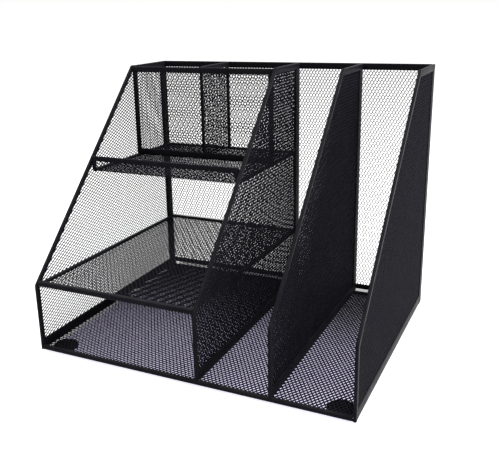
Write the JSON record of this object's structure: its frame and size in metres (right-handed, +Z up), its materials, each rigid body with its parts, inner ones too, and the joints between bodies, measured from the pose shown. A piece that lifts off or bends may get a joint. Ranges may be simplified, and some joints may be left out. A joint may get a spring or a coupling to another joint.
{
  "type": "desk organizer",
  "caption": "Black steel mesh desk organizer with upright file bays, a wide bay with an open slot, shelf and lipped tray, and pen cups at the back.",
  "frame": {"origin": "on the desk, under the middle of the organizer's outline", "axes": "+X to the right seen from the open front, +Y from the front to the back, +Z up"},
  "size_m": [0.33, 0.27, 0.271],
  "materials": {
    "mesh_steel": "black powder coat on expanded steel sheet",
    "strip_steel": "satin black powder coat on folded steel strip",
    "pad_rubber": "matt black rubber"
  },
  "bodies": {
    "root": {"back_bottom_rail": "strip_steel", "back_mesh": "mesh_steel", "back_top_rail": "strip_steel", "base_front_rail": "strip_steel", "base_mesh": "mesh_steel", "base_rear_rail": "strip_steel", "first_divider_base_strip": "strip_steel", "first_divider_front_rim": "strip_steel", "first_divider_mesh": "mesh_steel", "first_divider_rear_strip": "strip_steel", "first_divider_top_strip": "strip_steel", "front_left_foot": "pad_rubber", "front_right_foot": "pad_rubber", "left_side_base_strip": "strip_steel", "left_side_front_rim": "strip_steel", "left_side_mesh": "mesh_steel", "left_side_rear_strip": "strip_steel", "left_side_top_strip": "strip_steel", "pen_cup_bottom_rail": "strip_steel", "pen_cup_divider_front_strip": "strip_steel", "pen_cup_divider_mesh": "mesh_steel", "pen_cup_divider_rear_strip": "strip_steel", "pen_cup_divider_top_strip": "strip_steel", "pen_cup_front_mesh": "mesh_steel", "pen_cup_left_post": "strip_steel", "pen_cup_right_post": "strip_steel", "pen_cup_top_rail": "strip_steel", "rear_left_foot": "pad_rubber", "rear_right_foot": "pad_rubber", "right_side_base_strip": "strip_steel", "right_side_front_rim": "strip_steel", "right_side_mesh": "mesh_steel", "right_side_rear_strip": "strip_steel", "right_side_top_strip": "strip_steel", "second_divider_base_strip": "strip_steel", "second_divider_front_rim": "strip_steel", "second_divider_mesh": "mesh_steel", "second_divider_rear_strip": "strip_steel", "second_divider_top_strip": "strip_steel", "shelf_front_rail": "strip_steel", "shelf_left_strip": "strip_steel", "shelf_mesh": "mesh_steel", "shelf_rear_strip": "strip_steel", "shelf_right_strip": "strip_steel", "tray_floor_mesh": "mesh_steel", "tray_left_strip": "strip_steel", "tray_lip_left_post": "strip_steel", "tray_lip_mesh": "mesh_steel", "tray_lip_right_post": "strip_steel", "tray_lip_rim": "strip_steel", "tray_rear_strip": "strip_steel", "tray_right_strip": "strip_steel"}
  },
  "joints": []
}
